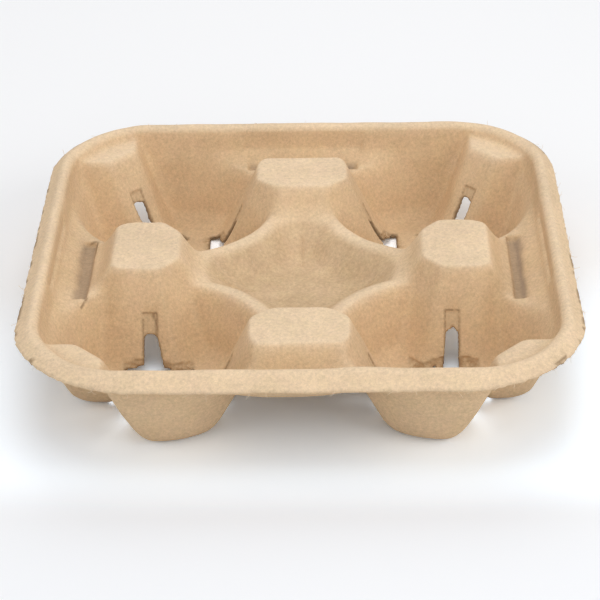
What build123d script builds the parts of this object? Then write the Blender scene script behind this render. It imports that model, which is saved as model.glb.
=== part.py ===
from build123d import *
from math import atan2, cos, degrees, pi, radians, sin, sqrt, tan
import os

# Moulded pulp tray for four cups: one square sheet of pulp, drawn down into
# four wells that stand on their own floors. The origin is under the middle of
# the tray, in the plane of the table. Lengths are millimetres.

# Sheet and rim
wall = 2.0
tray_side = 215.0
tray_height = 42.0
edge_height = 37.2
edge_corner = 48.0
edge_bevel = 22.0
crest_radius = 3.5
crest_corner = 43.2
lip_slope = 34.0
lip_spare = 4.0
half_side = tray_side / 2
rim_foot = tray_height - crest_radius
corner_centre = half_side - crest_corner

# Pocket inside the rim, and the deck that the posts stand on
deck_height = 27.5
rim_width = 14.0
pocket_draft = 11.5
pocket_foot_radius = 7.0
pocket_side = tray_side - 2 * rim_width

# Cup wells, which open in the deck and bite a little into the pocket's wall
well_gap = 26.0
well_bite = 1.5
well_draft = 20.0
well_floor_radius = 9.0
well_mouth = (pocket_side - well_gap) / 2 + well_bite
well_centre = (well_mouth + well_gap) / 2

# Shallow trough between each post and the rim
trough_margin = 3.0
trough_width = 6.5
trough_length = 48.0
trough_depth = 2.0
trough_wall = 1.2
trough_draft = 25.0
trough_far = pocket_side / 2 - trough_margin
trough_near = trough_far - trough_width

# Posts in the middle of each side, between two wells
post_height = 38.2
post_width = 38.0
post_nose = 5.4
post_heel = 9.2
post_inner_cut = (10.8, 7.4)
post_outer_cut = (2.5, 5.0)
post_side_draft = 24.0
post_inner_draft = 32.0
post_outer_draft = 33.0
post_edge_radius = 5.0
post_top_radius = 1.5
post_inner = well_centre - post_nose
post_outer = trough_near - post_heel

# Buttresses in the corners, which face the wells on the diagonal
rib_height = 38.0
rib_reach = 35.0
rib_overhang = 7.07
rib_face_draft = 29.0
rib_side_draft = 21.0
rib_edge_radius = 4.0
rib_top_radius = 1.5
rib_side = half_side - rib_reach
rib_face = well_centre * sqrt(2) + well_mouth / 2 - rib_overhang

# Star-shaped recess in the middle of the deck
recess_depth = 11.2
recess_margin = 8.6
recess_tip_angle = 16.0
recess_tip_slope = 39.0
recess_slope = 43.0
ridge_width = 6.0
recess_tip = post_inner - recess_margin

# Slots that let the ribs give: an upright slot over a level one at its foot
slot_width = 5.2
web_thickness = 1.0
slot_reach = 14.0
foot_slot_length = 27.0
foot_slot_height = 4.5
post_slot_inset = 11.9
post_slot_top = 13.5
post_web_top = 22.0
post_foot_slot_inset = 7.7
post_foot_slot_near = 14.5
post_foot_slot_width = 7.0
rib_slot_top = 18.5
rib_web_top = 23.3
rib_foot_slot_inset = 25.3
rib_foot_slot_width = 7.5

overlap = 1.0
quarter_turns = [0, 90, 180, 270]


def lean(height, draft):
    """How far a drafted face moves sideways over a height."""
    return height * tan(radians(draft))


def thickened(grow, draft):
    """How far a drafted face moves sideways to lie deeper by grow."""
    return grow / cos(radians(draft))


def meeting_point(first, second):
    """Where two plan lines meet, each given as (nx, ny, distance)."""
    a, b, c = first
    d, e, f = second
    det = a * e - b * d
    return ((c * e - b * f) / det, (a * f - c * d) / det)


def drafted_block(sides, reference, top, bottom, offset):
    """A block with flat leaning sides.

    Each side is (angle of its outward normal, distance from the tray's axis
    at the reference height, draft), and stands further out lower down.
    Offset moves every side outwards, square to its own face.
    """
    def outline(z):
        lines = []
        for angle, distance, draft in sides:
            moved = distance + lean(reference - z, draft) + thickened(offset, draft)
            lines.append((cos(radians(angle)), sin(radians(angle)), moved))
        corners = [meeting_point(lines[i - 1], line) for i, line in enumerate(lines)]
        return make_face(Polyline(*[(x, y, z) for x, y in corners], close=True))

    return loft([outline(bottom), outline(top)], ruled=True)


def side_through(x0, y0, x1, y1, draft):
    """The side through two plan points, with the block on the left of the line."""
    angle = atan2(-(x1 - x0), y1 - y0)
    distance = x0 * cos(angle) + y0 * sin(angle)
    return (degrees(angle), distance, draft)


def leaning_edges(block):
    """Edges of a block that run from its bottom up to its top."""
    box = block.bounding_box()
    return [e for e in block.edges() if abs((e @ 0).Z - (e @ 1).Z) > box.size.Z / 2]


def pocket_half(z):
    """Half the pocket's inner width at height z."""
    return pocket_side / 2 + lean(z - deck_height, pocket_draft)


def pocket(grow):
    """The drafted pocket inside the rim, down past the wells' floors."""
    def outline(z):
        half = pocket_half(z) + thickened(grow, pocket_draft)
        return Pos(0, 0, z) * RectangleRounded(2 * half, 2 * half, half - corner_centre)

    return loft([outline(-wall), outline(rim_foot)], ruled=True)


def well(grow):
    """A cup's conical well, with a rounded foot, over the +X +Y floor."""
    def radius(z):
        return well_mouth / 2 - lean(deck_height - z, well_draft) + thickened(grow, well_draft)

    floor = wall - grow
    top = deck_height + overlap
    profile = Polyline((0, 0, floor), (radius(floor), 0, floor), (radius(top), 0, top),
                       (0, 0, top), close=True)
    cone = revolve(make_face(profile), Axis.Z)
    foot = cone.edges().group_by(Axis.Z)[0]
    cone = fillet(foot, well_floor_radius + grow)
    return Pos(well_centre, well_centre) * cone


def recess(grow):
    """The star recess: an eight-sided pan less the skirts round the wells."""
    floor = deck_height - recess_depth - grow
    top = deck_height + overlap
    tip = recess_tip * cos(radians(recess_tip_angle))
    sides = []
    for turn in quarter_turns:
        for lean_angle in (-recess_tip_angle, recess_tip_angle):
            sides.append((turn + lean_angle, tip, recess_tip_slope - 90))
    pan = drafted_block(sides, deck_height, top, floor, grow)
    pan_skirts = []
    for turn in quarter_turns:
        inner = well_mouth / 2 + ridge_width - grow / sin(radians(recess_slope))
        low = inner + (deck_height - floor + overlap) / tan(radians(recess_slope))
        high = inner - 2 * overlap / tan(radians(recess_slope))
        height = deck_height - floor + 3 * overlap
        skirt = Pos(well_centre, well_centre, floor - overlap) * Cone(
            low, high, height, align=(Align.CENTER, Align.CENTER, Align.MIN))
        pan_skirts.append(Rot(0, 0, turn) * skirt)
    return pan - pan_skirts


def trough(grow):
    """The trough on the +Y side, under which the pulp is pressed thinner."""
    grow = min(grow, trough_wall)
    sides = [
        (-90, -trough_near, -trough_draft),
        (0, trough_length / 2, -trough_draft),
        (90, trough_far, -trough_draft),
        (180, trough_length / 2, -trough_draft),
    ]
    floor = deck_height - trough_depth - grow
    return drafted_block(sides, deck_height, deck_height + overlap, floor, grow)


def post(grow):
    """The post on the +Y side."""
    half = post_width / 2
    inner_run, inner_rise = post_inner_cut
    outer_run, outer_rise = post_outer_cut
    inner = side_through(inner_run, post_inner, half, post_inner + inner_rise, post_side_draft)
    outer = side_through(half, post_outer - outer_rise, half - outer_run, post_outer, post_side_draft)
    sides = [
        (-90, -post_inner, post_inner_draft),
        inner,
        (0, half, post_side_draft),
        outer,
        (90, post_outer, post_outer_draft),
        (180 - outer[0], outer[1], post_side_draft),
        (180, half, post_side_draft),
        (180 - inner[0], inner[1], post_side_draft),
    ]
    top = post_height - grow
    block = drafted_block(sides, post_height, top, wall - grow - overlap, -grow)
    block = fillet(leaning_edges(block), post_edge_radius - grow)
    return fillet(block.faces().sort_by(Axis.Z)[-1].edges(), post_top_radius)


def corner_rib(grow):
    """The buttress in the +X +Y corner, running out past the pocket's wall."""
    sides = [
        (180, -rib_side, rib_side_draft),
        (225, -rib_face, rib_face_draft),
        (270, -rib_side, rib_side_draft),
        (0, half_side, 0),
        (90, half_side, 0),
    ]
    block = drafted_block(sides, rib_height, rib_height - grow, wall - grow - overlap, -grow)
    outer = half_side - grow - overlap

    def faces_well(edge):
        return max((edge @ 0.5).X, (edge @ 0.5).Y) < outer

    block = fillet([e for e in leaning_edges(block) if faces_well(e)], rib_edge_radius - grow)
    top_edges = block.faces().sort_by(Axis.Z)[-1].edges()
    return fillet([e for e in top_edges if faces_well(e)], rib_top_radius)


def form(grow):
    """The space above the pulp's face, or above its underside when grow is the wall."""
    top = rim_foot
    floor = deck_height - grow
    walls = pocket(grow)
    space = walls & Pos(0, 0, floor) * Box(
        tray_side, tray_side, top - floor, align=(Align.CENTER, Align.CENTER, Align.MIN))
    space = fillet(space.edges().group_by(Axis.Z)[0], pocket_foot_radius + grow)
    sunk = recess(grow)
    sunk += [Rot(0, 0, turn) * well(grow) for turn in quarter_turns]
    sunk += [Rot(0, 0, turn) * trough(grow) for turn in quarter_turns]
    space += sunk & walls
    space -= [Rot(0, 0, turn) * post(grow) for turn in quarter_turns]
    space -= [Rot(0, 0, turn) * corner_rib(grow) for turn in quarter_turns]
    return space


def rim():
    """The rolled rim: up the pocket's wall, over the crest and out along the lip."""
    inner = pocket_half(rim_foot)
    crest = inner + thickened(crest_radius, pocket_draft)
    bend = crest_radius - wall
    steep = radians(pocket_draft)
    outward = radians(lip_slope)

    def on_bend(radius, angle):
        return (crest + radius * cos(angle), rim_foot + radius * sin(angle))

    def along_lip(start, run):
        return (start[0] + run * cos(outward), start[1] - run * sin(outward))

    rise = pi - steep
    fall = pi / 2 - outward
    face_rise = on_bend(crest_radius, rise)
    face_top = on_bend(crest_radius, pi / 2)
    face_fall = on_bend(crest_radius, fall)
    back_rise = on_bend(bend, rise)
    back_top = on_bend(bend, pi / 2)
    back_fall = on_bend(bend, fall)
    run = (half_side - face_fall[0]) / cos(outward) + lip_spare
    profile = [
        Line((inner, rim_foot), face_rise),
        ThreePointArc(face_rise, face_top, face_fall),
        Line(face_fall, along_lip(face_fall, run)),
        Line(along_lip(face_fall, run), along_lip(back_fall, run)),
        Line(along_lip(back_fall, run), back_fall),
        ThreePointArc(back_fall, back_top, back_rise),
        Line(back_rise, (inner + thickened(wall, pocket_draft), rim_foot)),
        Line((inner + thickened(wall, pocket_draft), rim_foot), (inner, rim_foot)),
    ]
    section = Plane.XZ * make_face(Curve() + profile)
    straight = extrude(section, corner_centre, both=True)
    corner_axis = Axis((corner_centre, corner_centre, 0), (0, 0, 1))
    turned = revolve(Pos(0, corner_centre, 0) * section, corner_axis, 90)
    quarter = straight + turned
    whole = quarter
    for turn in quarter_turns[1:]:
        whole += Rot(0, 0, turn) * quarter

    def trimmed_at(z):
        half = half_side + (z - edge_height) * tan(radians(edge_bevel))
        corner = edge_corner + half - half_side
        return Pos(0, 0, z) * RectangleRounded(2 * half, 2 * half, corner)

    low = edge_height - 2 * lip_spare
    return whole & loft([trimmed_at(low), trimmed_at(tray_height + overlap)], ruled=True)


def cut_block(x, y, z):
    """A block given by its limits along each axis."""
    size = (x[1] - x[0], y[1] - y[0], z[1] - z[0])
    corner = (Align.MIN, Align.MIN, Align.MIN)
    return Pos(x[0], y[0], z[0]) * Box(*size, align=corner)


def post_slots():
    """Both pairs of slots in the +Y post, one pair for each side face."""
    near = post_width / 2 + post_foot_slot_near
    far = near + post_foot_slot_width
    middle = post_inner + post_slot_inset
    across = (middle - slot_width / 2, middle + slot_width / 2)
    middle = post_inner + post_foot_slot_inset
    along = (middle - foot_slot_length / 2, middle + foot_slot_length / 2)
    below = -overlap
    upright = cut_block((near - slot_reach, far), across, (below, post_slot_top))
    foot = cut_block((near, far), along, (below, foot_slot_height))
    web = cut_block((near - slot_reach, far), across, (post_slot_top - overlap, post_web_top))
    web -= post(wall - web_thickness)
    right = upright + foot + web
    return right + mirror(right, Plane.YZ)


def rib_slots():
    """The pair of slots in the +X +Y buttress, set out along the diagonal."""
    near = rib_face - rib_foot_slot_inset
    far = near + rib_foot_slot_width
    across = (-slot_width / 2, slot_width / 2)
    along = (-foot_slot_length / 2, foot_slot_length / 2)
    below = -overlap
    upright = cut_block((near, far + slot_reach), across, (below, rib_slot_top))
    foot = cut_block((near, far), along, (below, foot_slot_height))
    web = cut_block((near, far + slot_reach), across, (rib_slot_top - overlap, rib_web_top))
    web -= Rot(0, 0, -45) * corner_rib(wall - web_thickness)
    return Rot(0, 0, 45) * (upright + foot + web)


def tray():
    pulp = form(wall) - form(0) + rim()
    slots = post_slots() + rib_slots()
    pulp -= [Rot(0, 0, turn) * slots for turn in quarter_turns]
    return pulp


os.makedirs("parts", exist_ok=True)
made = tray()
print("tray", made.is_valid, len(made.solids()), made.volume, made.bounding_box())
export_step(made, "parts/tray.step")
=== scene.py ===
from math import cos, pi, radians, sin, sqrt, tan

import bpy
import numpy as np
from mathutils import Matrix, Vector


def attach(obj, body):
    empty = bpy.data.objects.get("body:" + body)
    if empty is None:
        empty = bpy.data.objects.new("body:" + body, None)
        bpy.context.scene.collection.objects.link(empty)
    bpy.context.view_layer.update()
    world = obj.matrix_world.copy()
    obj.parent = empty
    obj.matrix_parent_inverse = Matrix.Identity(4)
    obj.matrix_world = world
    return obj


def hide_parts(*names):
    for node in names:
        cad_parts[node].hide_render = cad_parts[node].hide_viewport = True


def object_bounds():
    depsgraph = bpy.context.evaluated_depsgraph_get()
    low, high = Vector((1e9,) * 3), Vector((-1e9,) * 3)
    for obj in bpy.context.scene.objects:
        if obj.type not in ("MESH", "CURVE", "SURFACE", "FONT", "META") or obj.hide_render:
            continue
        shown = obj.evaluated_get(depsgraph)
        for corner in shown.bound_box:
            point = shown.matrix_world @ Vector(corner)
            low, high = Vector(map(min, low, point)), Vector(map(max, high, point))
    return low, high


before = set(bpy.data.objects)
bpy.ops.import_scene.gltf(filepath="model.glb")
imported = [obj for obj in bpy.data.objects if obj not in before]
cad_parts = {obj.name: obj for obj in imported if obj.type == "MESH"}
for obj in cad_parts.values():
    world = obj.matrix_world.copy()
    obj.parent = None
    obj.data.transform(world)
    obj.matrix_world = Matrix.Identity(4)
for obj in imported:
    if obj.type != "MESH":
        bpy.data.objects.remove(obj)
cad_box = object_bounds()
scene = bpy.context.scene
MM = 0.001

# The tray's half side and height in millimetres, from the frame.
HALF_SIDE = round(cad_box[1][0] / MM, 1)
HEIGHT = round(cad_box[1][2] / MM, 1)

# Its other sizes in millimetres and degrees, as in the CAD model.
WALL = 2.0
EDGE_HEIGHT = 37.2
EDGE_BEVEL = 22.0
EDGE_CORNER = 48.0
CREST_RADIUS = 3.5
LIP_SLOPE = 34.0
CORNER_CENTRE = 64.3
DECK = 27.5
POCKET_HALF = 93.5
POCKET_DRAFT = 11.5
POCKET_FOOT = 7.0
WELL_CENTRE = 54.0
WELL_RADIUS = 41.0
WELL_DRAFT = 20.0
WELL_FOOT = 9.0
FLOOR = 2.0

# The recess: its arcs run round the wells, and its four points reach to the posts. Its
# painted shade keeps clear of the wells and posts and starts a little below the ridge.
RIDGE_HEIGHT = 28.0
RIDGE_RADIUS = 46.5
RECESS_ARC_SLOPE = 43
RECESS_REACH = 40.5
RECESS_TURN = 16
RECESS_POINT_SLOPE = 39
RECESS_FLOOR = 16.3
RECESS_MARK_RADIUS = 43.5
RECESS_MARK_REACH = 43
RECESS_MARK_TOP = 27.3

# The trough: from its steep inner wall and ends to its soft outer wall.
TROUGH_DEPTH = 2.0
TROUGH_INNER = 84.0
TROUGH_OUTER = 90.5
TROUGH_END = 24.0
TROUGH_STEEP = 20
TROUGH_SOFT = 48

# The post: half its width, its two faces across, and the ends of its cut corners.
POST_TOP = 38.2
POST_HALF = 19.0
POST_INNER = 48.6
POST_OUTER = 74.8
POST_CORNERS = (
    ((10.8, POST_INNER), (POST_HALF, 56.0)),
    ((POST_HALF, 69.8), (16.5, POST_OUTER)),
)
POST_SIDE_DRAFT = 24
POST_INNER_DRAFT = 34
POST_OUTER_DRAFT = 33

# The buttress in each corner.
RIB_TOP = 38.0
RIB_SIDE = 72.5
RIB_FACE = 110.3
RIB_FACE_DRAFT = 29
RIB_SIDE_DRAFT = 21

# The slots: centres along the post and starts and ends out from its middle line, or in
# the buttresses along the diagonal. Tops are above the table, and a web lies WEB_DEPTH
# below the sheet's upper face.
POST_SLOT_CENTRE = 60.5
FOOT_SLOT_CENTRE = 56.3
FOOT_SLOT_HALF = 13.5
SLOT_HALF = 2.3
WEB_HALF = 2.7
WEB_START = 3
WEB_DEPTH = 0.6
POST_SLOT_TOP = 14.6
POST_SLOT_END = 38.0
POST_WEB_TOP = 22.0
FOOT_SLOT_TOP = 3.6
FOOT_SLOT_START = 33.5
FOOT_SLOT_END = 40.5
RIB_SLOT_TOP = 18.5
RIB_WEB_TOP = 23.8
RIB_SLOT_START = 85.0
RIB_SLOT_END = 106.0
RIB_FOOT_END = 92.5
RIB_FOOT_TOP = 3.0

# The torn flaps that hang over the foot slots.
FLAP_TOP = 6.6
FLAP_FALL = 0.22
FLAP_CENTRE = 36.5
FLAP_REACH = 6.0
RIB_FLAP_TOP = 4.8

# How widely two faces run into each other where they meet.
WALL_BLEND = 2.0
DECK_BLEND = 5.5
RIDGE_BLEND = 3.0
RECESS_POINT_BLEND = 1.0
RECESS_FLOOR_BLEND = 2.5
TROUGH_BLEND = 0.8
POST_EDGE_BLEND = 4.0
POST_TOP_BLEND = 1.2
RIB_EDGE_BLEND = 4.0
RIB_TOP_BLEND = 3.0
FOOT_BLEND = 6.0
LOW_FOOT_BLEND = 14.0
LOW_FOOT_HEIGHT = 16

# How this tray differs from its mould.
SIDE_LEAN = 2.4
FRONT_LIP_RISE = 8.5
EDGE_RISE_PER_DEGREE = 0.19
LEFT_TROUGH_SHIFT = 2.0
SLOT_SHIFT = 0.9

# How its slots widen downward and peak at the top, on the left post's front and elsewhere.
WIDENS_BELOW = 13.5
WIDENING = 0.10
LEFT_WIDENING = 0.26
PEAK = 0.9
LEFT_PEAK = 0.2

# The right post's front foot slot is torn open only here.
OPEN_FOOT_CENTRE = 51.5
OPEN_FOOT_HALF = 1.6
CLOSED_FOOT_DROP = 2.6

# Where it came off the mould unevenly: centre, radius and rise.
UNEVEN = (
    (24.0, -84.0, 11.0, 3.5),
    (-26.0, -84.0, 9.0, 1.8),
    (84.0, -24.0, 9.0, -1.5),
    (-84.0, -24.0, 9.0, 2.0),
)

# Soft lumps all over the sheet: height, size and random seed.
LUMPS = ((0.18, 11.0, 1), (0.07, 4.0, 2))

# The mesh: the grid it is taken from, in millimetres, and its size after thinning.
GRID_STEP = 0.75
TRIANGLES = 190000
FINE_SHARE = 0.05

# The loose fibres: how many, and their shortest and longest, in millimetres.
RIM_FIBRES = 240
RIM_FIBRE_LENGTHS = (1.5, 4.0)
SLOT_FIBRES = 120
SLOT_FIBRE_LENGTHS = (2.0, 5.0)
FIBRE_RADII = (0.05, 0.09)
FIBRE_STEPS = 7
FIBRE_SIDES = 3

# Colours of the pulp, in linear values.
# Painted light on open tops and painted shade in the hollows: the next two colours.
SKY_LIT_PULP = (0.795, 0.60, 0.395)
HOLLOW_SHADE_PULP = (0.70, 0.495, 0.29)
# Painted shade in the middle recess.
RECESS_SHADE_PULP = (0.58, 0.405, 0.235)
FLAP_PULP = (0.42, 0.26, 0.13)
ROSY_PULP = (0.76, 0.54, 0.36)
STRAW_PULP = (0.74, 0.58, 0.33)
# Painted shade in the troughs.
TROUGH_SHADE_PULP = (0.36, 0.255, 0.17)
# Painted shade on the thin webs below the slots.
WEB_SHADE_PULP = (0.58, 0.42, 0.25)
# Painted shade along slot and web edges and in cracks, with the darker colour of torn pulp; also a
# darker line along the side edges.
TORN_AND_SHADE_PULP = (0.24, 0.15, 0.08)
PALE_STRAND = (0.90, 0.75, 0.55)
DARK_STRAND = (0.38, 0.25, 0.15)
FIBRE_COLOUR = (0.80, 0.64, 0.45)

# The camera, fitted to the photograph: degrees, millimetres, and pixels for its focal length.
CAMERA_ELEVATION = 31.18
CAMERA_YAW = 1.08
CAMERA_ROLL = -1.14
CAMERA_DISTANCE = 881.93
CAMERA_RIGHT = -0.92
CAMERA_UP = 9.97
FOCAL_PIXELS = 2150.67
IMAGE_WIDTH = 600
SENSOR_WIDTH = 36.0

# The lamps, in metres and watts. Turn 0 is the camera's side and 90 the right.
LAMP_DISTANCE = 1.2
LAMP_SIZE = 0.9
LAMP_AIM = Vector((0, 0, 0.02))
LAMPS = (
    ("overhead", 0, 89, 3.7),
    ("behind", 180, 50, 3.2),
    ("front", 0, 30, 2.1),
    ("left", -62, 27, 1.8),
    ("right", 62, 28, 4.6),
)
SKY_COLOUR = (0.94, 0.98, 1.06)
SKY_STRENGTH = 0.40

# The floor: what it returns to the tray, and what the camera sees near the tray,
# far from it and in front of it. Near the tray and beneath it, painted light lifts the tray's
# shadow.
FLOOR_HALF = 3.0
FLOOR_BOUNCE = (0.80, 0.80, 0.80)
FLOOR_NEAR_PAINTED_LIGHT = (1.22, 1.32, 1.40)
FLOOR_FAR = (0.965, 0.955, 0.94)
FLOOR_FRONT = (0.925, 0.925, 0.925)
FLOOR_BENEATH_PAINTED_LIGHT = 1.5
NEAR_MIDDLE = (0.02, -0.06, 0)
NEAR_STRETCH = (1.0, 1.5, 1.0)
NEAR_RADII = (0.09, 0.21)
BENEATH_MIDDLE = (0, 0.035, 0)
BENEATH_RADII = (0.068, 0.092)
FRONT_FADE = (-0.134, -0.099)


def slope(degrees):
    """Rise per millimetre of a face that leans by degrees from upright."""
    return 1 / tan(radians(degrees))


def smooth(share):
    """A share from 0 to 1, eased at both ends."""
    return share * share * (3 - 2 * share)


def fade(value, start, end):
    """Eased share from 0 where the value is start to 1 where it is end."""
    return smooth(np.clip((value - start) / (end - start), 0, 1))


def lower(a, b, blend):
    """The lower of two heights, with a rounded join."""
    h = np.clip(0.5 + 0.5 * (b - a) / blend, 0, 1)
    return b * (1 - h) + a * h - blend * h * (1 - h)


def upper(a, b, blend):
    """The higher of two heights, with a rounded join."""
    return -lower(-a, -b, blend)


def rounded_square(x, y, half, corner):
    """Signed distance to a rounded square, below zero inside it."""
    qx = np.abs(x) - (half - corner)
    qy = np.abs(y) - (half - corner)
    outside = np.hypot(np.maximum(qx, 0), np.maximum(qy, 0))
    return outside + np.minimum(np.maximum(qx, qy), 0) - corner


def smooth_noise(x, y, size, seed):
    """Soft random heights between about -1 and 1, on lumps of the given size."""
    grid = np.random.default_rng(seed).uniform(-1, 1, (256, 256))
    u = x / size + 100.37
    v = y / size + 100.71
    i = np.floor(u).astype(int)
    j = np.floor(v).astype(int)
    fu = smooth(u - i)
    fv = smooth(v - j)
    i %= 255
    j %= 255
    near = grid[i, j] * (1 - fu) + grid[i + 1, j] * fu
    far = grid[i, j + 1] * (1 - fu) + grid[i + 1, j + 1] * fu
    return near * (1 - fv) + far * fv


# The sheet of pulp: heights of its upper face over the plan, x to the right and y away.
def wall_heights(s):
    """Height of the pocket's wall, s millimetres out from the crest of the rim."""
    steep = radians(POCKET_DRAFT)
    return HEIGHT - CREST_RADIUS + (s + CREST_RADIUS / cos(steep)) / tan(steep)


def rounded_foot(s, floor, foot, draft, radius):
    """A level floor that turns up into a leaning wall, with a rounded foot at s."""
    steep = radians(draft)
    start = foot - radius * tan((pi / 2 - steep) / 2)
    into = np.clip(s - start, 0, radius * cos(steep))
    curved = floor + radius - np.sqrt(radius ** 2 - into ** 2)
    wall = floor + (s - foot) / tan(steep)
    return np.where(s > start + radius * cos(steep), wall, curved)


def crest_shift(x, y, s):
    """The side walls lean out further than the others, so their crest lies further out."""
    side = fade(np.abs(x) - np.abs(y), 5, 45)
    near = smooth(np.clip(1 - np.abs(s + 1.0) / 8.5, 0, 1))
    return SIDE_LEAN * side * near


def lip_slope(y):
    """Slope of the lip in degrees from level: the front lip hangs less than the others."""
    return LIP_SLOPE - FRONT_LIP_RISE * fade(-y, 50, 90)


def rim_heights(s, y):
    """Height of the sheet over the rim, s millimetres out from the crest."""
    middle = HEIGHT - CREST_RADIUS
    lip = np.radians(lip_slope(y))
    arc = middle + np.sqrt(np.maximum(CREST_RADIUS ** 2 - s ** 2, 0))
    fall_start = CREST_RADIUS * np.sin(lip)
    fall = middle + CREST_RADIUS * np.cos(lip) - (s - fall_start) * np.tan(lip)
    height = np.where(s < -CREST_RADIUS * cos(radians(POCKET_DRAFT)), wall_heights(s), arc)
    return np.where(s > fall_start, fall, height)


def well_heights(ax, ay):
    """The conical well with its flat floor."""
    reach = np.hypot(ax - WELL_CENTRE, ay - WELL_CENTRE)
    foot = WELL_RADIUS - (DECK - FLOOR) * tan(radians(WELL_DRAFT))
    return rounded_foot(reach, FLOOR, foot, WELL_DRAFT, WELL_FOOT)


def recess_heights(ax, ay):
    """The recess in the middle, which falls away from the ridge round each well."""
    reach = np.hypot(ax - WELL_CENTRE, ay - WELL_CENTRE)
    height = RIDGE_HEIGHT - (reach - RIDGE_RADIUS) * tan(radians(RECESS_ARC_SLOPE))
    turn = radians(RECESS_TURN)
    for u, v in ((ax, ay), (ay, ax)):
        beyond = (v - RECESS_REACH) * cos(turn) + u * sin(turn)
        wall = RIDGE_HEIGHT + beyond * tan(radians(RECESS_POINT_SLOPE))
        height = upper(height, wall, RECESS_POINT_BLEND)
    return upper(height, np.full_like(ax, RECESS_FLOOR), RECESS_FLOOR_BLEND)


def trough_shift(x, y):
    """The left trough lies further forward than it should."""
    return np.where((x < 0) & (np.abs(x) > np.abs(y)), LEFT_TROUGH_SHIFT, 0.0)


def trough_heights(ax, ay):
    """The troughs between the posts and the rim, and far above the tray elsewhere."""
    height = np.full_like(ax, 99.0)
    for u, v in ((ax, ay), (ay, ax)):
        steep = np.maximum(TROUGH_INNER - v, u - TROUGH_END) * slope(TROUGH_STEEP)
        soft = (v - TROUGH_OUTER) * slope(TROUGH_SOFT)
        trough = np.maximum(DECK - TROUGH_DEPTH, DECK + np.maximum(steep, soft))
        height = np.minimum(height, trough)
    return height


def post_heights(u, v):
    """The post on the v axis, u across it."""
    height = POST_TOP - (u - POST_HALF) * slope(POST_SIDE_DRAFT)
    inner = POST_TOP - (POST_INNER - v) * slope(POST_INNER_DRAFT)
    outer = POST_TOP - (v - POST_OUTER) * slope(POST_OUTER_DRAFT)
    height = lower(height, inner, POST_EDGE_BLEND)
    height = lower(height, outer, POST_EDGE_BLEND)
    for (u0, v0), (u1, v1) in POST_CORNERS:
        run = sqrt((u1 - u0) ** 2 + (v1 - v0) ** 2)
        beyond = ((u - u0) * (v1 - v0) - (v - v0) * (u1 - u0)) / run
        cut_corner = POST_TOP - beyond * slope(POST_SIDE_DRAFT)
        height = lower(height, cut_corner, POST_EDGE_BLEND)
    return lower(height, np.full_like(u, POST_TOP), POST_TOP_BLEND)


def rib_heights(ax, ay):
    """The buttress in the corner."""
    height = RIB_TOP - (RIB_FACE - (ax + ay) / sqrt(2)) * slope(RIB_FACE_DRAFT)
    for a in (ax, ay):
        side = RIB_TOP - (RIB_SIDE - a) * slope(RIB_SIDE_DRAFT)
        height = lower(height, side, RIB_EDGE_BLEND)
    return lower(height, np.full_like(ax, RIB_TOP), RIB_TOP_BLEND)


def sheet_heights(x, y):
    """Height of the sheet's upper face over each point of the plan.

    The joins grow sharp towards the crest, so that the rim keeps its own form.
    """
    ax, ay = np.abs(x), np.abs(y)
    crest_half = POCKET_HALF + (HEIGHT - CREST_RADIUS - DECK) / slope(POCKET_DRAFT)
    crest_half += CREST_RADIUS / cos(radians(POCKET_DRAFT))
    s = rounded_square(x, y, crest_half, crest_half - CORNER_CENTRE)
    s = s - crest_shift(x, y, s)
    soft = fade(-s, 0.5, 4.5) + 0.01
    wells = upper(well_heights(ax, ay), wall_heights(s), WALL_BLEND * soft)
    deck = rounded_foot(s, DECK, POCKET_HALF - crest_half, POCKET_DRAFT, POCKET_FOOT)
    height = lower(deck, wells, DECK_BLEND * soft)
    height = lower(height, recess_heights(ax, ay), RIDGE_BLEND)
    troughs = trough_heights(ax, np.abs(y + trough_shift(x, y)))
    height = lower(height, troughs, TROUGH_BLEND)
    rim = rim_heights(s, y)
    height = np.where(s < -CREST_RADIUS * cos(radians(POCKET_DRAFT)), height, rim)
    for raised in (post_heights(ax, ay), post_heights(ay, ax), rib_heights(ax, ay)):
        low = np.clip(1 - height / LOW_FOOT_HEIGHT, 0, 1)
        blend = FOOT_BLEND + (LOW_FOOT_BLEND - FOOT_BLEND) * low
        height = upper(height, raised, blend * soft)
    height = np.where(s < 0, height, rim)
    for centre_x, centre_y, radius, rise in UNEVEN:
        away = ((x - centre_x) ** 2 + (y - centre_y) ** 2) / radius ** 2
        height = height + rise * np.exp(-away) * np.clip((height - 2.5) / 6, 0, 1)
    return height


def underside_heights(top, step):
    """Height of the sheet's lower face, which lies one thickness from the upper face."""
    reach = int(WALL / step)
    under = top - WALL
    size = top.shape[0]
    padded = np.pad(top, reach, mode="edge")
    for i in range(-reach, reach + 1):
        for j in range(-reach, reach + 1):
            spare = WALL ** 2 - (i * i + j * j) * step * step
            if spare < 0:
                continue
            moved = padded[reach + i:reach + i + size, reach + j:reach + j + size]
            under = np.minimum(under, moved - sqrt(spare))
    return under


# The slots and the torn edges.
def foot_flap(u, v, z):
    """How far a point lies into the thin torn flap above a post's foot slot."""
    beyond = np.abs(np.abs(v) - POST_SLOT_CENTRE)
    along = FOOT_SLOT_HALF - np.abs(np.abs(v) - FOOT_SLOT_CENTRE)
    inside = np.minimum(FLAP_TOP - FLAP_FALL * beyond - z, along)
    return np.minimum(inside, FLAP_REACH - np.abs(u - FLAP_CENTRE))


def diagonal(x, y):
    """Distance from the tray's middle along the nearest diagonal, and away from it."""
    ax, ay = np.abs(x), np.abs(y)
    return (ax + ay) / sqrt(2), np.abs(ax - ay) / sqrt(2)


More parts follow.
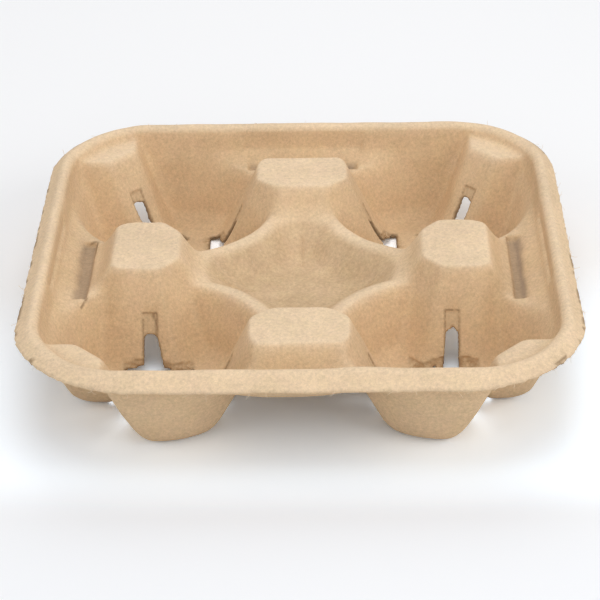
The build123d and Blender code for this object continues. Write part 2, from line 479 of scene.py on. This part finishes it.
def slot_gaps(x, y, z):
    """Distance into the nearest open slot and into the nearest thin web of pulp.

    Both are above zero where pulp is missing: right through in a slot, and from
    the upper face only in a web. The edges are torn, so noise moves them.
    """
    torn = 0.5 * smooth_noise(x + 0.6 * z, y - 0.8 * z, 1.9, 11)
    torn += 0.6 * smooth_noise(x - 0.5 * z, y + 0.7 * z, 4.5, 12)
    torn_foot = 1.1 * smooth_noise(x + z, y - z, 3.1, 13) + torn
    gaps = {"slot": np.full_like(x, -9.0), "web": np.full_like(x, -9.0)}

    def cut(kind, *limits):
        inside = limits[0]
        for limit in limits[1:]:
            inside = np.minimum(inside, limit)
        gaps[kind] = np.maximum(gaps[kind], inside)

    # The posts: u across one and v along it, first the front and back ones.
    for u, v, side_post_face in ((np.abs(x), y, 0 * y), (np.abs(y), x, y)):
        front_left = (v < 0) & (side_post_face < 0)
        front_right = (v > 0) & (side_post_face < 0)
        centre = POST_SLOT_CENTRE * np.sign(v)
        moved = np.where(v < 0, SLOT_SHIFT, -SLOT_SHIFT)
        aside = np.abs(v - centre - moved)
        widening = np.clip(WIDENS_BELOW - z, 0, 12)
        widening = widening * np.where(front_left, LEFT_WIDENING, WIDENING)
        beside = np.abs(v - centre - moved + 0.5 * widening * np.sign(v)) - 0.5 * widening
        peak = np.where(front_left, LEFT_PEAK, PEAK) * aside
        top = POST_SLOT_TOP + 0.8 * np.sign(v) + 0.9 * torn - peak
        face = np.minimum(u - POST_HALF, POST_SLOT_END - u)
        cut("slot", SLOT_HALF - beside + 0.4 * torn, top - z, face)
        cut("web", WEB_HALF - aside + 0.15 * torn, POST_WEB_TOP - z, z - WEB_START, face)
        reach = FOOT_SLOT_HALF - np.abs(np.abs(v) - FOOT_SLOT_CENTRE)
        closed = front_right & (np.abs(v - OPEN_FOOT_CENTRE) > OPEN_FOOT_HALF)
        drop = np.where(closed, CLOSED_FOOT_DROP, 0)
        foot_top = FOOT_SLOT_TOP - drop - 0.16 * np.abs(v - centre) + 0.5 * torn_foot
        end = FOOT_SLOT_END - u
        cut("slot", reach + torn_foot, foot_top - z, u - FOOT_SLOT_START + 0.4 * torn, end)
        cut("web", reach + 0.4 * torn_foot, foot_flap(u, v, z) + 0.3 * torn_foot, end)

    # The corner buttresses.
    along, across = diagonal(x, y)
    face = np.minimum(along - RIB_SLOT_START, RIB_SLOT_END - along)
    cut("slot", SLOT_HALF - across + 0.5 * torn, RIB_SLOT_TOP + torn - z, face)
    cut("web", WEB_HALF - across + 0.15 * torn, RIB_WEB_TOP - z, face)
    reach = FOOT_SLOT_HALF - across
    start = along - RIB_SLOT_START
    end = RIB_FOOT_END - along
    cut("slot", reach + torn_foot, RIB_FOOT_TOP + torn_foot - z, start + 0.4 * torn, end)
    flap = RIB_FLAP_TOP + 0.5 * torn_foot - z
    cut("web", reach, flap, start + 1.0, RIB_FOOT_END + 1.0 - along)
    return gaps["slot"], gaps["web"]


def fray(x, y, z):
    """How far the lip's torn edge stands in from its clean outline."""
    worn = 0.22 * smooth_noise(x + 0.5 * z, y - 0.5 * z, 7.0, 21)
    worn += 0.24 * smooth_noise(x - 0.7 * z, y + 0.7 * z, 2.3, 22)
    worn += 0.2 * smooth_noise(x + z, y + 0.4 * z, 1.2, 23)
    chips = smooth_noise(x, y, 3.4, 24) * smooth_noise(x, y, 13.0, 25)
    return worn + 1.5 * np.clip(chips - 0.35, 0, 1)


# From heights to a closed mesh.
def uprightness(heights, step):
    """Upright share of the normal of a face, which turns heights into distances."""
    lean_x, lean_y = np.gradient(heights, step)
    return 1 / np.sqrt(1 + lean_x ** 2 + lean_y ** 2)


def solid_field(step):
    """Distance into the pulp on a regular grid, above zero inside it."""
    fine = step / 2
    count = 2 * int(np.ceil((HALF_SIDE + 4) / fine)) + 1
    line = (np.arange(count) - (count - 1) / 2) * fine
    x, y = np.meshgrid(line, line, indexing="ij")
    top = sheet_heights(x, y)
    for lump_height, size, seed in LUMPS:
        top = top + lump_height * smooth_noise(x, y, size, seed)
    under = underside_heights(top, fine)
    upright = uprightness(top, fine)
    upright_under = uprightness(under, fine)
    every = slice(0, count, 2)
    x, y, top, under = (a[every, every] for a in (x, y, top, under))
    upright, upright_under = upright[every, every], upright_under[every, every]
    edge = rounded_square(x, y, HALF_SIDE, EDGE_CORNER)
    levels = np.arange(-2 * step, HEIGHT + 3 * step, step)
    bevel = radians(EDGE_BEVEL)
    edge_height = EDGE_HEIGHT + (LIP_SLOPE - lip_slope(y)) * EDGE_RISE_PER_DEGREE
    above_slots = 30
    above_table = 0.05
    field = np.empty(x.shape + levels.shape, np.float32)
    for k, z in enumerate(levels):
        depth = (top - z) * upright
        inside = np.minimum(depth, (z - under) * upright_under)
        inside = np.minimum(inside, z - above_table)
        ragged = edge + fray(x, y, z)
        trimmed = (z - edge_height) * sin(bevel) - ragged * cos(bevel)
        inside = np.minimum(inside, np.maximum(trimmed, -edge - 4))
        if z < above_slots:
            open_gap, web_gap = slot_gaps(x, y, np.full_like(x, z))
            inside = np.minimum(inside, -open_gap)
            inside = np.minimum(inside, -np.minimum(web_gap, WEB_DEPTH - depth))
        field[:, :, k] = inside
    origin = np.array((x[0, 0], y[0, 0], levels[0]))
    return field, origin


def surface_of(field, origin, step):
    """Vertices and quads of the surface where the field passes through zero."""
    solid = field > 0
    cells = np.zeros(tuple(n - 1 for n in field.shape), np.uint8)
    corners = [(i, j, k) for i in (0, 1) for j in (0, 1) for k in (0, 1)]
    for i, j, k in corners:
        part = solid[i:i + cells.shape[0], j:j + cells.shape[1], k:k + cells.shape[2]]
        cells += part
    active = np.argwhere((cells > 0) & (cells < 8))
    index = np.full(cells.shape, -1, np.int64)
    index[tuple(active.T)] = np.arange(len(active))
    values = np.stack([field[tuple((active + c).T)] for c in corners], axis=1)
    total = np.zeros((len(active), 3))
    crossings = np.zeros(len(active))
    for a in range(8):
        for b in range(a + 1, 8):
            first, second = np.array(corners[a]), np.array(corners[b])
            if np.abs(first - second).sum() != 1:
                continue
            va, vb = values[:, a], values[:, b]
            crossed = (va > 0) != (vb > 0)
            share = np.where(crossed, va / np.where(crossed, va - vb, 1), 0)
            point = first + share[:, None] * (second - first)
            total += point * crossed[:, None]
            crossings += crossed
    vertices = origin + (active + total / crossings[:, None]) * step
    quads = []
    for axis in range(3):
        ahead = np.moveaxis(solid, axis, 0)
        change = ahead[1:] != ahead[:-1]
        leaving = ahead[:-1] & change
        rolled = np.moveaxis(index, axis, 0)
        i, j, k = (np.argwhere(change[:, 1:-1, 1:-1]) + (0, 1, 1)).T
        ring = np.stack([rolled[i, j - 1, k - 1], rolled[i, j, k - 1],
                         rolled[i, j, k], rolled[i, j - 1, k]], axis=1)
        outward = leaving[i, j, k]
        if axis == 1:
            outward = ~outward
        ring[~outward] = ring[~outward][:, ::-1]
        quads.append(ring)
    return vertices, np.concatenate(quads)


def link_object(name, data):
    made = bpy.data.objects.new(name, data)
    scene.collection.objects.link(made)
    return made


def mesh_object(name, vertices, faces):
    """A smooth mesh of faces that all have the same number of corners."""
    mesh = bpy.data.meshes.new(name)
    mesh.vertices.add(len(vertices))
    mesh.vertices.foreach_set("co", np.ascontiguousarray(vertices, np.float32).ravel())
    mesh.loops.add(faces.size)
    mesh.loops.foreach_set("vertex_index", np.ascontiguousarray(faces, np.int32).ravel())
    mesh.polygons.add(len(faces))
    sides = faces.shape[1]
    mesh.polygons.foreach_set("loop_start", np.arange(0, faces.size, sides, dtype=np.int32))
    mesh.polygons.foreach_set("use_smooth", np.ones(len(faces), bool))
    mesh.update(calc_edges=True)
    mesh.validate()
    return link_object(name, mesh)


def vertex_values(mesh, name):
    """Places or normals of a mesh's vertices, one row each."""
    values = np.empty(3 * len(mesh.vertices), np.float32)
    mesh.vertices.foreach_get(name, values)
    return values.reshape(-1, 3).astype(float)


def near_details(vertices):
    """1 for the vertices round slots, rim and cracks, where the mesh stays fine, else 0."""
    x, y, z = vertices.T
    open_gap, web_gap = slot_gaps(x, y, z)
    edge = rounded_square(x, y, HALF_SIDE, EDGE_CORNER)
    rim = (z > 33) & (edge > -1.1) & (np.abs(x) > np.abs(y))
    cracks = (z > 20) & (np.abs(x + 86) < 6) & (np.abs(np.abs(y) - TROUGH_END) < 6)
    return ((np.maximum(open_gap, web_gap) > -0.9) | rim | cracks).astype(int)


def thin_mesh(piece, near):
    """Merge triangles down to the wanted number, least where near is 1."""
    thin = piece.modifiers.new("thin", "DECIMATE")
    thin.ratio = TRIANGLES / (2 * len(piece.data.polygons))
    keep = piece.vertex_groups.new(name="thin_here")
    for level, weight in ((0, 1.0), (1, FINE_SHARE)):
        keep.add(np.flatnonzero(near == level).tolist(), weight, "REPLACE")
    thin.vertex_group = keep.name
    thin.vertex_group_factor = 1.0
    depsgraph = bpy.context.evaluated_depsgraph_get()
    mesh = bpy.data.meshes.new_from_object(piece.evaluated_get(depsgraph))
    piece.modifiers.clear()
    piece.data = mesh


def add_tray():
    """The sheet of pulp with its slots, marks and material, in place of the CAD's tray."""
    field, origin = solid_field(GRID_STEP)
    vertices, quads = surface_of(field, origin, GRID_STEP)
    piece = mesh_object("pulp_tray", vertices * MM, quads)
    thin_mesh(piece, near_details(vertices))
    mark_surface(piece)
    piece.data.materials.clear()
    piece.data.materials.append(pulp_material())
    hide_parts("tray")
    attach(piece, "root")
    return piece


# Values on the vertices that the pulp's colour is worked out from, painted light and shade among
# them.
def open_sky(x, y):
    """Share of the sky seen from each point of the sheet's upper face, 1 on the rim."""
    spacing = 1.5
    count = 2 * int(HALF_SIDE / spacing) + 1
    line = (np.arange(count) - (count - 1) / 2) * spacing
    grid_x, grid_y = np.meshgrid(line, line, indexing="ij")
    height = sheet_heights(grid_x, grid_y)
    rows, columns = np.indices(height.shape)
    sky = np.zeros_like(height)
    directions = 16
    for turn in np.arange(directions) * 2 * pi / directions:
        steepest = np.zeros_like(height)
        for distance in (1.5, 3, 5, 8, 12, 17, 24, 34, 48, 66):
            run = distance / spacing
            i = np.clip(np.rint(rows + run * cos(turn)).astype(int), 0, count - 1)
            j = np.clip(np.rint(columns + run * sin(turn)).astype(int), 0, count - 1)
            steepest = np.maximum(steepest, (height[i, j] - height) / distance)
        sky += 1 / (1 + steepest ** 2) / directions
    i = np.clip((x / spacing + (count - 1) / 2).astype(int), 0, count - 2)
    j = np.clip((y / spacing + (count - 1) / 2).astype(int), 0, count - 2)
    u = x / spacing + (count - 1) / 2 - i
    v = y / spacing + (count - 1) / 2 - j
    near = sky[i, j] * (1 - u) + sky[i + 1, j] * u
    far = sky[i, j + 1] * (1 - u) + sky[i + 1, j + 1] * u
    return near * (1 - v) + far * v


def post_crack_shade(x, y, z):
    """Painted shade of the crack down the right edge of the left post's front slot, 1 on the line.
    """
    line = -58.2 + 0.175 * (POST_WEB_TOP - z) + 0.5 * smooth_noise(z, x, 2.2, 31)
    beside = np.clip(1 - np.abs(x - line) / 0.8, 0, 1)
    return beside * ((z > 3) & (z < 21.5) & (y < 0) & (y > -42))


def trough_crack_shade(x, y):
    """Painted shade of thin cracks at both ends of the left trough, 1 on the line."""
    end = np.maximum(np.abs(y - TROUGH_END - 0.25 * (x + 86)), np.abs(x + 85.5) - 1.5)
    inner = np.maximum(np.abs(x + TROUGH_INNER), np.abs(y - 20.0) - 4.0)
    split = np.maximum(np.abs(x + 84.5 - 0.5 * (y + TROUGH_END)), np.abs(y + 25.2) - 2.0)
    return np.clip(1.3 - np.minimum(np.minimum(end, inner), split) / 0.35, 0, 1)


def side_edge_darkening(x, y):
    """A darker line along the lip's edge at the tray's sides, in patches, from 0 to 1."""
    worn = smooth_noise(x, y, 9.0, 32) + 0.7 * smooth_noise(x, y, 2.5, 33)
    beside = np.abs(rounded_square(x, y, HALF_SIDE, EDGE_CORNER) + 0.5)
    line = np.clip(1.3 - beside / 0.6, 0, 1)
    return line * np.clip(2.5 * worn + 0.3, 0, 1) * (np.abs(x) > np.abs(y))


def trough_shade(u, v):
    """Painted shade on a trough's floor, from 0 to 1: most along its crease."""
    across = np.abs(v)
    wave = 0.9 * smooth_noise(u, v, 5.0, 41)
    outer = 90.6 - across + wave
    inside = np.minimum(np.minimum(across - 83.5, outer), 23.6 - np.abs(u) + wave)
    crease = np.clip(1 - np.abs(across - np.where(v < 0, 84.6, 88.2)) / 1.5, 0, 1)
    return np.clip(inside / 1.7, 0, 1) * (0.72 + 0.28 * crease)


def flap_depth(x, y, z):
    """How far a point lies into a torn flap at the foot of a post or buttress."""
    post_flap = np.maximum(foot_flap(np.abs(x), y, z), foot_flap(np.abs(y), x, z))
    along, across = diagonal(x, y)
    rib_flap = np.minimum(np.minimum(5 - z, 13 - across), 6 - np.abs(along - 89))
    return np.maximum(post_flap, rib_flap)


def mark_surface(piece):
    """Set the marks that the pulp's material reads, each from 0 to 1 on every vertex.

    outer is 0 on the sheet's upper face and 1 on its lower face.
    """
    x, y, z = vertex_values(piece.data, "co").T / MM
    outer = np.clip((sheet_heights(x, y) - z - 0.8) / 0.8, 0, 1)
    open_gap, web_gap = slot_gaps(x, y, z)
    # Painted shade along the edges of the thin webs.
    web_edge_shade = np.clip(1 - np.abs(web_gap + 0.1) / 0.55, 0, 1) * np.where(z > 7, 1.0, 0.4)
    web_edge_shade = web_edge_shade * np.clip(0.9 + 0.8 * smooth_noise(x + z, y - z, 1.7, 34), 0, 1)
    # Painted shade along the edges of the open slots and webs, together with the darker colour of
    # torn pulp there.
    torn = np.maximum(np.clip(1.0 + open_gap, 0, 1), web_edge_shade)
    # Painted shade in the cracks.
    cracks = trough_crack_shade(x, y + LEFT_TROUGH_SHIFT) * (1 - outer)
    cracks = np.maximum(post_crack_shade(x, y, z), cracks)
    from_well = np.hypot(np.abs(x) - WELL_CENTRE, np.abs(y) - WELL_CENTRE)
    beyond_wells = np.clip(from_well - RECESS_MARK_RADIUS, 0, 1)
    central = np.clip(RECESS_MARK_REACH - np.maximum(np.abs(x), np.abs(y)), 0, 1)
    # Painted shade in the recess, below the ridge and clear of the wells and posts.
    recess_shade_mask = np.clip((RECESS_MARK_TOP - z) / 1.6, 0, 1) * beyond_wells * central
    # Painted shade on the troughs' floors.
    moved = y + trough_shift(x, y)
    troughs = np.maximum(trough_shade(x, moved), trough_shade(moved, x))
    marks = {
        "open_sky": open_sky(x, y) * (1 - outer) + 0.75 * outer,
        "torn": np.maximum(torn, np.maximum(cracks, side_edge_darkening(x, y))),
        "flap": np.clip(0.2 + flap_depth(x, y, z) / 1.5, 0, 1),
        "web": np.clip(0.5 + web_gap / 0.6, 0, 1),
        "recess": recess_shade_mask * (1 - outer),
        "trough": troughs * (1 - outer),
    }
    for name, values in marks.items():
        mark = piece.data.attributes.new(name, "FLOAT", "POINT")
        mark.data.foreach_set("value", np.ascontiguousarray(values, np.float32))


# The loose fibres.
def fibre_roots(points, rng):
    """Vertices of the tray that a fibre stands on: first the rim's, then the slots'."""
    x, y, z = points.T / MM
    rim = (z > 34) & (rounded_square(x, y, HALF_SIDE, EDGE_CORNER) > -0.9)
    slots = (slot_gaps(x, y, z)[0] > -0.5) & (z < 8)
    return np.concatenate([rng.choice(np.flatnonzero(rim), RIM_FIBRES),
                           rng.choice(np.flatnonzero(slots), SLOT_FIBRES)])


def strand_rings(root, outward, lengths, rng):
    """Rings of points round one bent fibre that starts a little inside the pulp."""
    length = rng.uniform(*lengths)
    along = Vector(rng.normal(size=3)).cross(outward).normalized()
    heading = (outward * 0.35 + along).normalized()
    bend = Vector(rng.normal(size=3)) * 0.35
    radius = rng.uniform(*FIBRE_RADII) * MM
    place = root - outward * 0.3 * MM
    rings = []
    for _ in range(FIBRE_STEPS):
        side = heading.orthogonal().normalized()
        other = heading.cross(side)
        for m in range(FIBRE_SIDES):
            turn = 2 * pi * m / FIBRE_SIDES
            point = place + (side * cos(turn) + other * sin(turn)) * radius
            point.z = max(point.z, 0.1 * MM + 0.5 * (point.z - place.z) + 0.5 * radius)
            rings.append(point)
        place = place + heading * (length / (FIBRE_STEPS - 1)) * MM
        heading = (heading + bend * 0.5 - outward * 0.12).normalized()
    return rings


def strand_faces(first):
    """Side faces and both end caps of the fibre whose points start at first."""
    faces = []
    for k in range(FIBRE_STEPS - 1):
        ring = first + k * FIBRE_SIDES
        for m in range(FIBRE_SIDES):
            a, b = ring + m, ring + (m + 1) % FIBRE_SIDES
            faces.append((a, b, b + FIBRE_SIDES, a + FIBRE_SIDES))
    last = first + (FIBRE_STEPS - 1) * FIBRE_SIDES
    faces.append(tuple(first + m for m in reversed(range(FIBRE_SIDES))))
    faces.append(tuple(last + m for m in range(FIBRE_SIDES)))
    return faces


def add_fibres(tray):
    """Loose fibres that stand out of the torn edges, each rooted in the pulp."""
    points = vertex_values(tray.data, "co")
    normals = vertex_values(tray.data, "normal")
    rng = np.random.default_rng(7)
    vertices, faces = [], []
    for n, root in enumerate(fibre_roots(points, rng)):
        faces += strand_faces(len(vertices))
        lengths = RIM_FIBRE_LENGTHS if n < RIM_FIBRES else SLOT_FIBRE_LENGTHS
        vertices += strand_rings(Vector(points[root]), Vector(normals[root]), lengths, rng)
    mesh = bpy.data.meshes.new("loose_fibres")
    mesh.from_pydata([tuple(v) for v in vertices], [], faces)
    shader = Shader("fibre")
    shader.set_surface("Base Color", FIBRE_COLOUR)
    shader.set_surface("Roughness", 0.8)
    mesh.materials.append(shader.material)
    piece = link_object("loose_fibres", mesh)
    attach(piece, "root")


# The materials.
class Shader:
    """A new material, with short calls for the nodes it is made of."""

    def __init__(self, name):
        self.material = bpy.data.materials.new(name)
        self.material.use_nodes = True
        self.nodes = self.material.node_tree.nodes
        self.links = self.material.node_tree.links
        self.surface = self.nodes["Principled BSDF"]
        self.place = self.nodes.new("ShaderNodeTexCoord").outputs["Object"]

    def feed(self, socket, value):
        """Link an output to the socket, or set it to a number, vector or colour."""
        if isinstance(value, bpy.types.NodeSocket):
            self.links.new(value, socket)
        elif socket.type == "RGBA":
            socket.default_value = (*value, 1)
        else:
            socket.default_value = value

    def set_surface(self, name, value):
        self.feed(self.surface.inputs[name], value)

    def math(self, operation, first, second):
        node = self.nodes.new("ShaderNodeMath")
        node.operation = operation
        self.feed(node.inputs[0], first)
        self.feed(node.inputs[1], second)
        return node.outputs[0]

    def vector(self, operation, first, second):
        node = self.nodes.new("ShaderNodeVectorMath")
        node.operation = operation
        self.feed(node.inputs[0], first)
        self.feed(node.inputs["Scale" if operation == "SCALE" else 1], second)
        return node.outputs["Vector"]

    def length(self, value):
        node = self.nodes.new("ShaderNodeVectorMath")
        node.operation = "LENGTH"
        self.feed(node.inputs[0], value)
        return node.outputs["Value"]

    def noise(self, scale, detail, roughness, place=None):
        node = self.nodes.new("ShaderNodeTexNoise")
        node.inputs["Scale"].default_value = scale
        node.inputs["Detail"].default_value = detail
        node.inputs["Roughness"].default_value = roughness
        self.feed(node.inputs["Vector"], place or self.place)
        return node.outputs[0]

    def ramp(self, value, low, high, out_low=0.0, out_high=1.0, eased=False):
        """Map low to high onto out_low to out_high, and no further at either end."""
        node = self.nodes.new("ShaderNodeMapRange")
        node.interpolation_type = "SMOOTHSTEP" if eased else "LINEAR"
        limits = ("From Min", "From Max", "To Min", "To Max")
        for name, limit in zip(limits, (low, high, out_low, out_high)):
            node.inputs[name].default_value = limit
        self.feed(node.inputs["Value"], value)
        return node.outputs["Result"]

    def mark(self, name):
        node = self.nodes.new("ShaderNodeAttribute")
        node.attribute_name = name
        return node.outputs["Fac"]

    def blend(self, factor, first, second):
        node = self.nodes.new("ShaderNodeMix")
        node.data_type = "RGBA"
        self.feed(node.inputs["Factor"], factor)
        self.feed(node.inputs["A"], first)
        self.feed(node.inputs["B"], second)
        return node.outputs["Result"]

    def strands(self, turns, width, length, level):
        """Thin strands, in metres: the highest ridges of noise drawn out along each turn."""
        found = None
        for turn in turns:
            mapping = self.nodes.new("ShaderNodeMapping")
            mapping.vector_type = "TEXTURE"
            mapping.inputs["Rotation"].default_value = turn
            mapping.inputs["Scale"].default_value = (length, width, width)
            self.feed(mapping.inputs["Vector"], self.place)
            drawn_out = self.noise(1.0, 1.0, 0.5, mapping.outputs["Vector"])
            strand = self.ramp(drawn_out, level, level + 0.07)
            found = strand if found is None else self.math("MAXIMUM", found, strand)
        return found


def pulp_material():
    """Pulp of brown paper, mottled, with fibres, darker where it is torn, and with painted light
    on open tops and painted shade in hollows, recess, troughs, webs, cracks and slot edges.
    """
    pulp = Shader("pulp")
    pulp.set_surface("Roughness", 0.92)
    pulp.set_surface("Specular IOR Level", 0.2)
    pale_turns = ((0.3, 0.5, 0.5), (0.4, -0.7, 1.5), (-0.6, 0.9, 2.5), (0.2, 0.3, -0.4))
    dark_turns = ((0.8, 0.4, 1.1), (-0.2, 1.0, 2.9), (0.5, -0.9, 0.2))

    # Painted light and shade: lighter where the sheet sees open sky, darker in its hollows.
    colour = pulp.blend(pulp.ramp(pulp.mark("open_sky"), 0.70, 0.98), HOLLOW_SHADE_PULP, SKY_LIT_PULP)
    # Painted shade in the recess.
    colour = pulp.blend(pulp.math("MULTIPLY", pulp.mark("recess"), 0.9), colour, RECESS_SHADE_PULP)
    rosy = pulp.ramp(pulp.noise(70, 3, 0.6), 0.35, 0.65, 0.0, 0.30)
    colour = pulp.blend(rosy, colour, ROSY_PULP)
    straw = pulp.ramp(pulp.noise(190, 3, 0.6), 0.40, 0.68, 0.0, 0.24)
    colour = pulp.blend(straw, colour, STRAW_PULP)
    flap = pulp.math("MULTIPLY", pulp.mark("flap"), pulp.ramp(pulp.noise(330, 3, 0.7), 0.38, 0.58))
    layers = (
        (pulp.strands(pale_turns, 0.0004, 0.003, 0.74), 0.35, PALE_STRAND),
        (pulp.strands(dark_turns, 0.0004, 0.002, 0.74), 0.35, DARK_STRAND),
        # Painted shade in the troughs.
        (pulp.mark("trough"), 0.95, TROUGH_SHADE_PULP),
        # Painted shade on the thin webs.
        (pulp.mark("web"), 0.5, WEB_SHADE_PULP),
        (flap, 1.0, FLAP_PULP),
        # Painted shade at slot and web edges and in cracks, with the darker colour of torn pulp.
        (pulp.mark("torn"), 0.8, TORN_AND_SHADE_PULP),
    )
    for where, strength, layer in layers:
        colour = pulp.blend(pulp.math("MULTIPLY", where, strength), colour, layer)

    fine_grain = pulp.ramp(pulp.noise(750, 4, 0.8), 0.2, 0.8, -0.24, 0.24)
    soft_grain = pulp.ramp(pulp.noise(45, 3, 0.6), 0.2, 0.8, -0.09, 0.09)
    grain = pulp.math("ADD", pulp.math("ADD", fine_grain, soft_grain), 1.0)
    pulp.set_surface("Base Color", pulp.vector("SCALE", colour, grain))

    bump = pulp.nodes.new("ShaderNodeBump")
    bump.inputs["Strength"].default_value = 0.55
    bump.inputs["Distance"].default_value = 0.0003
    pulp.feed(bump.inputs["Height"], pulp.noise(1300, 3, 0.6))
    pulp.set_surface("Normal", bump.outputs["Normal"])
    return pulp.material


def floor_material():
    """A pale floor that is brighter to the camera, near the tray and beneath it: painted light
    that lifts the tray's shadow.
    """
    floor = Shader("floor")
    floor.set_surface("Roughness", 0.9)
    floor.set_surface("Specular IOR Level", 0.1)

    # Painted light: the floor is brighter to the camera near the tray, and more so beneath it, to
    # lift the tray's shadow.
    from_near = floor.vector("SUBTRACT", floor.place, NEAR_MIDDLE)
    reach = floor.length(floor.vector("MULTIPLY", from_near, NEAR_STRETCH))
    far = floor.ramp(reach, *NEAR_RADII, eased=True)
    seen = floor.blend(far, FLOOR_NEAR_PAINTED_LIGHT, FLOOR_FAR)
    reach = floor.length(floor.vector("SUBTRACT", floor.place, BENEATH_MIDDLE))
    painted_light_beneath = floor.ramp(reach, *BENEATH_RADII, FLOOR_BENEATH_PAINTED_LIGHT, 1.0, eased=True)
    seen = floor.vector("SCALE", seen, painted_light_beneath)
    split = floor.nodes.new("ShaderNodeSeparateXYZ")
    floor.feed(split.inputs["Vector"], floor.place)
    front = floor.ramp(split.outputs["Y"], *FRONT_FADE, 1.0, 0.0, eased=True)
    seen = floor.blend(front, seen, FLOOR_FRONT)

    rays = floor.nodes.new("ShaderNodeLightPath").outputs
    to_camera = floor.math("MAXIMUM", rays["Is Camera Ray"], rays["Is Glossy Ray"])
    to_camera = floor.math("MAXIMUM", to_camera, rays["Is Transmission Ray"])
    floor.set_surface("Base Color", floor.blend(to_camera, FLOOR_BOUNCE, seen))
    return floor.material


# The stage: floor, lamps and camera.
def add_floor():
    mesh = bpy.data.meshes.new("floor")
    half = FLOOR_HALF
    corners = [(-half, -half, 0), (half, -half, 0), (half, half, 0), (-half, half, 0)]
    mesh.from_pydata(corners, [], [(0, 1, 2, 3)])
    mesh.materials.append(floor_material())
    floor = link_object("floor", mesh)


def add_lamp(name, turn, elevation, power):
    """A soft disk lamp aimed at the tray."""
    turn, elevation = radians(turn), radians(elevation)
    out = cos(elevation) * LAMP_DISTANCE
    place = Vector((out * sin(turn), -out * cos(turn), sin(elevation) * LAMP_DISTANCE))
    data = bpy.data.lights.new(name, "AREA")
    data.shape = "DISK"
    data.size = LAMP_SIZE
    data.energy = power
    lamp = link_object(name, data)
    lamp.location = place
    lamp.rotation_euler = (LAMP_AIM - place).to_track_quat("-Z", "Y").to_euler()


def add_lights():
    world = bpy.data.worlds.new("world")
    world.use_nodes = True
    background = world.node_tree.nodes["Background"]
    background.inputs["Color"].default_value = (*SKY_COLOUR, 1)
    background.inputs["Strength"].default_value = SKY_STRENGTH
    scene.world = world
    for lamp in LAMPS:
        add_lamp(*lamp)


def add_camera():
    elevation, yaw, roll = (radians(a) for a in (CAMERA_ELEVATION, CAMERA_YAW, CAMERA_ROLL))
    back = Vector((sin(yaw) * cos(elevation), -cos(yaw) * cos(elevation), sin(elevation)))
    level = Vector((cos(yaw), sin(yaw), 0))
    upright = back.cross(level)
    right = level * cos(roll) + upright * sin(roll)
    up = upright * cos(roll) - level * sin(roll)
    data = bpy.data.cameras.new("camera")
    camera = link_object("camera", data)
    place = (back * CAMERA_DISTANCE + right * CAMERA_RIGHT + up * CAMERA_UP) * MM
    turn = Matrix((right, up, back)).transposed().to_4x4()
    camera.matrix_world = Matrix.Translation(place) @ turn
    data.sensor_fit = "HORIZONTAL"
    data.sensor_width = SENSOR_WIDTH
    data.lens = FOCAL_PIXELS / IMAGE_WIDTH * SENSOR_WIDTH
    data.clip_start = 0.01
    data.clip_end = 20
    scene.camera = camera


add_camera()
add_fibres(add_tray())
add_floor()
add_lights()
scene.view_settings.view_transform = "Standard"
